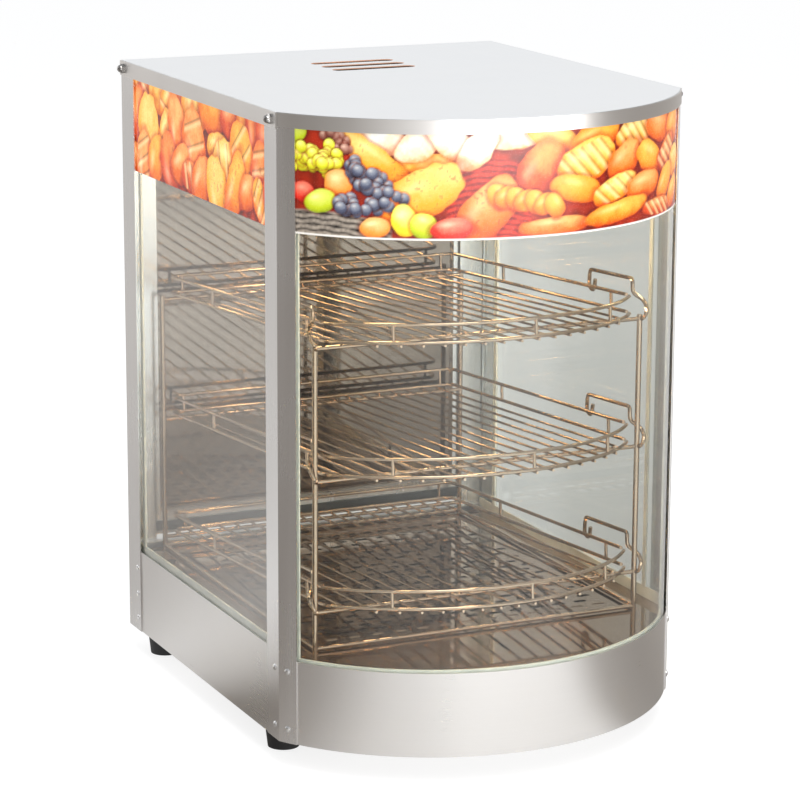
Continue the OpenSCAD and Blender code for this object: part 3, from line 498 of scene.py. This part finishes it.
# Bread on the front band, back to front:
# along the band, height, half length, half width, turn, kind, cuts, char
FRONT_BREAD = (
    (245, 88, 30, 12, -0.3, 2, 0, 0.0), (292, 84, 32, 15, 0.3, 0, 0, 0.0),
    (345, 84, 30, 15, 0.2, 2, 5, 0.0), (392, 84, 28, 15, -0.2, 3, 0, 0.3),
    (432, 80, 22, 18, 0.3, 0, 0, 0.0), (84, 70, 46, 12, -0.62, 2, 0, 0.5),
    (232, 60, 30, 20, 0.95, 1, 0, 0.0), (283, 64, 34, 19, 0.30, 2, 5, 0.0),
    (330, 60, 26, 16, 0.5, 3, 0, 0.4), (372, 58, 26, 15, -0.4, 0, 0, 0.0),
    (412, 56, 24, 16, 0.5, 1, 4, 0.0), (440, 46, 20, 15, 0.2, 2, 0, 0.0),
    (124, 40, 43, 22, 0.52, 2, 0, 0.6), (182, 24, 40, 21, 0.85, 3, 0, 0.7),
    (272, 40, 30, 13, -0.2, 0, 0, 0.0), (318, 36, 32, 12, 0.25, 2, 4, 0.0),
    (362, 34, 30, 13, 0.1, 3, 0, 0.0), (408, 30, 24, 14, 0.7, 0, 0, 0.3),
    (250, 9, 40, 9, 0.03, 3, 0, 0.0), (322, 15, 46, 10, 0.12, 0, 0, 0.0),
    (396, 10, 36, 9, -0.05, 1, 5, 0.0), (436, 18, 20, 13, 0.4, 0, 0, 0.0),
)
# A painted highlight along the bottom edge of the front band: its height in mm and its near-white colour
PAINTED_HIGHLIGHT_STRIP = 1.4
PAINTED_HIGHLIGHT_WHITE = (0.95, 0.92, 0.88)


def front_picture(width, height, step):
    """Loaves over most of the band, with a basket of fruit at its left end."""
    pic = Picture(width, height, step, SEED)
    pic.body(205, 90, 44, 11, 0.05, CLOTH, crust=0.2)
    pic.wicker(146, 226, 72, RED_WICKER, 8)
    pic.body(136, 68, 44, 9, 0.05, BREAD[2], crust=0.2)
    for at, level, lean in ((92, 88, -0.3), (122, 84, 0.5), (152, 86, -0.5), (174, 80, 0.8)):
        pic.body(at, level, 26, 14, lean, CLOTH, shine=0.35, crust=0.25, power=1.5)
    for u, v, a, b, turn, kind, cuts, char in FRONT_BREAD:
        pic.body(u, v, a, b, turn, BREAD[kind], cuts=cuts, char=char, crust=0.12, power=2.2)
    pic.braid(188, 40, 252, 26, 10, BREAD[0], 7)
    pic.wicker(-40, 100, 24, DARK_WICKER, 10)
    pic.body(8, 90, 12, 9, 0.4, PEAR)
    pic.bunch(40, 92, 58, 78, 4, 4.6, RED_GRAPE, 26)
    pic.bunch(12, 68, 46, 66, 6, 6.2, GREEN_GRAPE, 60)
    pic.body(16, 38, 12, 10, 0, APPLE)
    pic.body(50, 47, 14, 14, 0, PEACH, shine=0.3)
    pic.body(32, 31, 16, 11, 0.3, PEAR, shine=0.3)
    pic.bunch(64, 62, 98, 30, 6, 5.8, DARK_GRAPE, 56)
    pic.bunch(50, 32, 66, 26, 4, 5.8, DARK_GRAPE, 16)
    pic.body(84, 10, 15, 10, 0.1, PEACH, shine=0.4)
    pic.body(110, 17, 12, 15, 0.3, LEMON, shine=0.35)
    pic.body(127, 13, 13, 12, -0.4, PEAR, shine=0.35)
    pic.body(152, 10, 20, 11, 0.1, APPLE, shine=0.35)
    # Painted highlight: the lowest strip of the band is painted near white
    pic.rgb[pic.v < PAINTED_HIGHLIGHT_STRIP] = PAINTED_HIGHLIGHT_WHITE
    return pic


def side_picture(width, height, step, seed):
    """Mixed rolls and small loaves."""
    pic = Picture(width, height, step, seed)
    pic.loaves(-10, width + 30, height, 3, 32)
    return pic


def print_material(name, glow):
    """Glossy printed film: the picture's own colours, a dot-fine grain, and a painted glow standing in for
    lamp light from behind.
    """
    mat, tree, bsdf = new_material(name)
    ink = tree.nodes.new("ShaderNodeVertexColor")
    ink.layer_name = "ink"
    grain = stretched_noise(tree, (900, 900, 900), 3.0)
    dots = tree.nodes.new("ShaderNodeMix")
    dots.data_type = "RGBA"
    dots.blend_type = "MULTIPLY"
    dots.inputs["Factor"].default_value = 1.0
    link(tree, ink.outputs["Color"], dots.inputs["A"])
    link(tree, blend_colours(tree, grain, (0.93, 0.93, 0.93), (1, 1, 1)), dots.inputs["B"])
    link(tree, dots.outputs["Result"], bsdf.inputs["Base Color"])
    link(tree, dots.outputs["Result"], bsdf.inputs["Emission Color"])
    bsdf.inputs["Emission Strength"].default_value = glow
    link(tree, remap(tree, grain, 0.18, 0.30), bsdf.inputs["Roughness"])
    return mat


def printed_sheet(name, pic, place, thickness, glow):
    """The film as a thin closed sheet; place(u, v, depth) puts a point of the picture on it."""
    columns, rows = range(pic.columns), range(pic.rows)
    mesh = bpy.data.meshes.new(name)
    bm = bmesh.new()
    layers = []
    for depth in (0.0, thickness):
        spots = [[place(pic.u[r, c] * MM, pic.v[r, c] * MM, depth) for c in columns] for r in rows]
        layers.append([[bm.verts.new(spot) for spot in row] for row in spots])
    front, back = layers
    for r in range(pic.rows - 1):
        for c in range(pic.columns - 1):
            bm.faces.new((front[r][c], front[r][c + 1], front[r + 1][c + 1], front[r + 1][c]))
            face = bm.faces.new((back[r + 1][c], back[r + 1][c + 1], back[r][c + 1], back[r][c]))
            face.material_index = 1
    last_r, last_c = pic.rows - 1, pic.columns - 1
    for r in range(last_r):
        bm.faces.new((front[r + 1][0], back[r + 1][0], back[r][0], front[r][0]))
        bm.faces.new((front[r][last_c], back[r][last_c], back[r + 1][last_c], front[r + 1][last_c]))
    for c in range(last_c):
        bm.faces.new((front[0][c], back[0][c], back[0][c + 1], front[0][c + 1]))
        bm.faces.new((front[last_r][c + 1], back[last_r][c + 1], back[last_r][c], front[last_r][c]))
    bm.normal_update()
    bm.to_mesh(mesh)
    bm.free()
    ink = mesh.color_attributes.new("ink", "FLOAT_COLOR", "POINT")
    flat = np.ones((pic.rows * pic.columns, 4))
    flat[:, :3] = np.clip(pic.rgb.reshape(-1, 3), 0, 1)
    ink.data.foreach_set("color", np.concatenate([flat, flat]).astype(np.float32).ravel())
    piece = bpy.data.objects.new(name, mesh)
    scene.collection.objects.link(piece)
    mesh.materials.append(print_material(name + "_ink", glow))
    mesh.materials.append(print_back)
    for face in mesh.polygons:
        face.use_smooth = True
    return piece


print_back = plastic("print_back", (0.72, 0.66, 0.58), 0.4)
# Grid of the picture in mm, how far the sheet lies inside the CAD film, and the film's thickness
STEP = 1.1
EDGE = 0.00005
FILM = 0.0004
SHEET = FILM - 2 * EDGE
# Strength of the painted glow of the prints, which stands in for lamp light from behind
FRONT_PAINTED_GLOW, SIDE_PAINTED_GLOW = 0.20, 0.52

# The front film is an arc; its radius follows from its width and depth
low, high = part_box("front_graphic")
half_width = (high.x - low.x) / 2
sag = high.y - low.y
arc_r = (half_width * half_width + sag * sag) / (2 * sag)
arc_cy = low.y + arc_r
arc_end = math.asin(half_width / arc_r)
arc_len = 2 * arc_end * arc_r


def on_front(u, v, inward):
    """A point of the front film, from its left end and its lower edge."""
    turn = -arc_end + u / arc_r
    r = arc_r - EDGE - inward
    return (r * math.sin(turn), arc_cy - r * math.cos(turn), low.z + v)


front_food = front_picture(arc_len / MM, (high.z - low.z) / MM, STEP)
front_print = printed_sheet("front_print", front_food, on_front, SHEET, FRONT_PAINTED_GLOW)
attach(front_print, "case")
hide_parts("front_graphic")

for side, sign in (("left", -1), ("right", 1)):
    a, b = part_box("side_graphic_" + side)
    outer = a.x + EDGE if sign < 0 else b.x - EDGE

    def on_side(u, v, inward, outer=outer, sign=sign, a=a, b=b):
        """A point of a side film, from its left end and its lower edge."""
        y = b.y - u if sign < 0 else a.y + u
        return (outer - sign * inward, y, a.z + v)

    side_food = side_picture((b.y - a.y) / MM, (b.z - a.z) / MM, STEP, SEED + 2 + sign)
    sheet = printed_sheet("side_print_" + side, side_food, on_side, SHEET, SIDE_PAINTED_GLOW)
    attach(sheet, "case")
    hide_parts("side_graphic_" + side)

# ---------------------------------------------------------------- stage, light and camera


def disc(name, radius):
    """A flat round plate on the ground."""
    mesh = bpy.data.meshes.new(name)
    bm = bmesh.new()
    bmesh.ops.create_circle(bm, cap_ends=True, segments=96, radius=radius)
    bm.to_mesh(mesh)
    bm.free()
    piece = bpy.data.objects.new(name, mesh)
    scene.collection.objects.link(piece)
    return piece


# How bright the studio is in each direction round the case:
# azimuth in degrees (0 is the front, -90 the left), brightness
STUDIO_ROUND = (
    (-180, 0.66), (-150, 0.50), (-131, 0.90), (-116, 0.72), (-97, 0.28), (-84, 0.24),
    (-58, 0.42), (-36, 0.84), (-12, 1.0), (12, 0.96), (25, 0.98), (38, 0.42),
    (60, 0.34), (100, 0.40), (132, 0.54), (150, 0.60), (180, 0.66),
)


def studio_brightness(tree, kind):
    """Brightness of the studio towards the point or direction that is shaded."""
    coords = tree.nodes.new("ShaderNodeTexCoord")
    parts = tree.nodes.new("ShaderNodeSeparateXYZ")
    link(tree, coords.outputs[kind], parts.inputs[0])
    front = tree.nodes.new("ShaderNodeMath")
    front.operation = "MULTIPLY"
    front.inputs[1].default_value = -1.0
    link(tree, parts.outputs["Y"], front.inputs[0])
    angle = tree.nodes.new("ShaderNodeMath")
    angle.operation = "ARCTAN2"
    link(tree, parts.outputs["X"], angle.inputs[0])
    link(tree, front.outputs[0], angle.inputs[1])
    turn = tree.nodes.new("ShaderNodeMapRange")
    turn.inputs["From Min"].default_value = -math.pi
    turn.inputs["From Max"].default_value = math.pi
    link(tree, angle.outputs[0], turn.inputs["Value"])
    ramp = tree.nodes.new("ShaderNodeValToRGB")
    stops = ramp.color_ramp.elements
    for azimuth, _ in STUDIO_ROUND[1:-1]:
        stops.new((azimuth + 180) / 360)
    for stop, (azimuth, level) in zip(stops, STUDIO_ROUND):
        stop.position = (azimuth + 180) / 360
        stop.color = (level, level**1.07, level**1.14, 1)
    link(tree, turn.outputs["Result"], ramp.inputs["Fac"])
    return ramp.outputs["Color"], parts.outputs["Z"]


def stage_paint(name, seen, glow):
    """Pale floor paint.

    Looked at directly it is near white. In reflections and through glass it shows the studio's own greys,
    with a little painted shade that darkens it close to the case.
    """
    mat, tree, bsdf = new_material(name)
    level, _ = studio_brightness(tree, "Object")
    dimmed = tree.nodes.new("ShaderNodeMix")
    dimmed.data_type = "RGBA"
    dimmed.inputs["Factor"].default_value = 0.25
    dimmed.inputs["A"].default_value = (0, 0, 0, 1)
    link(tree, level, dimmed.inputs["B"])
    link(tree, dimmed.outputs["Result"], bsdf.inputs["Base Color"])
    link(tree, level, bsdf.inputs["Emission Color"])
    coords = tree.nodes.new("ShaderNodeTexCoord")
    away = tree.nodes.new("ShaderNodeVectorMath")
    away.operation = "LENGTH"
    link(tree, coords.outputs["Object"], away.inputs[0])
    # Painted shade: the emission is weaker close to the case
    lit = tree.nodes.new("ShaderNodeMapRange")
    lit.inputs["From Min"].default_value = 0.5
    lit.inputs["From Max"].default_value = 2.2
    lit.inputs["To Min"].default_value = 0.72
    lit.inputs["To Max"].default_value = 0.98
    link(tree, away.outputs["Value"], lit.inputs["Value"])
    link(tree, lit.outputs["Result"], bsdf.inputs["Emission Strength"])
    bsdf.inputs["Roughness"].default_value = 0.8
    bsdf.inputs["Specular IOR Level"].default_value = 0.1
    paint = tree.nodes.new("ShaderNodeBsdfDiffuse")
    paint.inputs["Color"].default_value = (*seen, 1)
    lift = tree.nodes.new("ShaderNodeEmission")
    lift.inputs["Strength"].default_value = glow
    both = tree.nodes.new("ShaderNodeAddShader")
    link(tree, paint.outputs["BSDF"], both.inputs[0])
    link(tree, lift.outputs["Emission"], both.inputs[1])
    path = tree.nodes.new("ShaderNodeLightPath")
    mix = tree.nodes.new("ShaderNodeMixShader")
    link(tree, path.outputs["Is Camera Ray"], mix.inputs["Fac"])
    link(tree, bsdf.outputs["BSDF"], mix.inputs[1])
    link(tree, both.outputs["Shader"], mix.inputs[2])
    link(tree, mix.outputs["Shader"], tree.nodes["Material Output"].inputs["Surface"])
    return mat


floor = disc("floor", 18.0)
floor.data.materials.append(stage_paint("floor_paint", (0.30, 0.30, 0.30), 0.80))

world = bpy.data.worlds.new("studio")
scene.world = world
world.use_nodes = True
sky = world.node_tree
level, rise = studio_brightness(sky, "Generated")
overhead = sky.nodes.new("ShaderNodeMix")
overhead.data_type = "RGBA"
overhead.inputs["B"].default_value = (0.86, 0.89, 0.93, 1)
link(sky, level, overhead.inputs["A"])
link(sky, rise, overhead.inputs["Factor"])
link(sky, overhead.outputs["Result"], sky.nodes["Background"].inputs["Color"])
sky.nodes["Background"].inputs["Strength"].default_value = 0.8


def from_case(aim, azimuth, elevation, distance):
    """The point that lies in a direction from aim, in degrees, where azimuth 0 is the front."""
    az, el = math.radians(azimuth), math.radians(elevation)
    out = math.cos(el)
    return aim + distance * Vector((math.sin(az) * out, -math.cos(az) * out, math.sin(el)))


def softbox(name, azimuth, elevation, distance, size, power, colour=(1, 1, 1), in_glass=False):
    """A rectangle of light that faces the middle of the case; in_glass lets it glint behind the glass."""
    light = bpy.data.lights.new(name, "AREA")
    light.shape = "RECTANGLE"
    light.size, light.size_y = size
    light.energy = power
    light.color = colour
    piece = bpy.data.objects.new(name, light)
    aim = Vector((0, 0, 0.3))
    piece.location = from_case(aim, azimuth, elevation, distance)
    piece.rotation_euler = (aim - piece.location).to_track_quat("-Z", "Y").to_euler()
    piece.visible_camera = False
    piece.visible_transmission = in_glass
    scene.collection.objects.link(piece)


softbox("key", -12, 54, 2.3, (1.0, 2.0), 20, (1.0, 0.96, 0.90), in_glass=True)
softbox("left_back", -140, 20, 2.2, (0.9, 1.2), 6)
softbox("back", 148, 24, 2.6, (2.6, 1.3), 5)
softbox("skirt_fill", 12, 2.5, 2.3, (2.4, 0.3), 24)
softbox("top", 20, 80, 2.4, (2.4, 2.0), 34)

VIEW_AZIMUTH, VIEW_ELEVATION, VIEW_DISTANCE, VIEW_ROLL = -24.96, 13.34, 3.103, 0.26
FOCAL_LENGTH = 141.1
VIEW_AIM = Vector((0.0097, 0.0355, 0.2851))
camera = bpy.data.objects.new("camera", bpy.data.cameras.new("camera"))
camera.location = from_case(VIEW_AIM, VIEW_AZIMUTH, VIEW_ELEVATION, VIEW_DISTANCE)
look = (VIEW_AIM - camera.location).to_track_quat("-Z", "Y").to_matrix()
camera.rotation_euler = (look @ Matrix.Rotation(math.radians(VIEW_ROLL), 3, "Z")).to_euler()
camera.data.lens = FOCAL_LENGTH
camera.data.sensor_width = 36
scene.collection.objects.link(camera)
scene.camera = camera
scene.view_settings.view_transform = "Standard"
